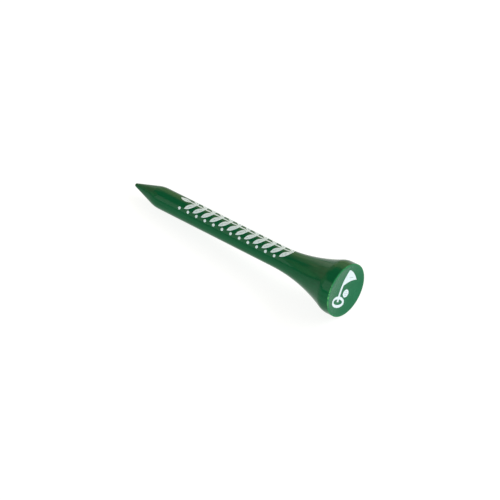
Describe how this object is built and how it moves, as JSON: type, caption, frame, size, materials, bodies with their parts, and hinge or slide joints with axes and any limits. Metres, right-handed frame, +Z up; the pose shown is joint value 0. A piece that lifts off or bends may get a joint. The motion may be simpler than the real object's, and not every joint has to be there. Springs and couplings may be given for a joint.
{
  "type": "golf tee",
  "caption": "Turned wooden golf tee with a green gloss coat, lying on its side: a pointed shank that flares to a dished cup for the ball, with white printed ornament.",
  "frame": {"origin": "on the surface that the tee lies on, under the middle of its box", "axes": "+X runs from the point to the head, +Z is up and -Y is the printed front. The tee lies on its head band and on the end of its shank, so its own axis climbs 4.05 degrees towards the head, in the XZ plane"},
  "size_m": [0.0544, 0.0109, 0.011],
  "materials": {
    "birch_wood": "turned, unstained",
    "green_lacquer": "gloss lacquer, dipped",
    "white_ink": "printed, satin"
  },
  "bodies": {
    "root": {"wooden_body": "birch_wood", "lacquer_coat": "green_lacquer", "shaft_print": "white_ink", "cup_print": "white_ink"}
  },
  "joints": []
}
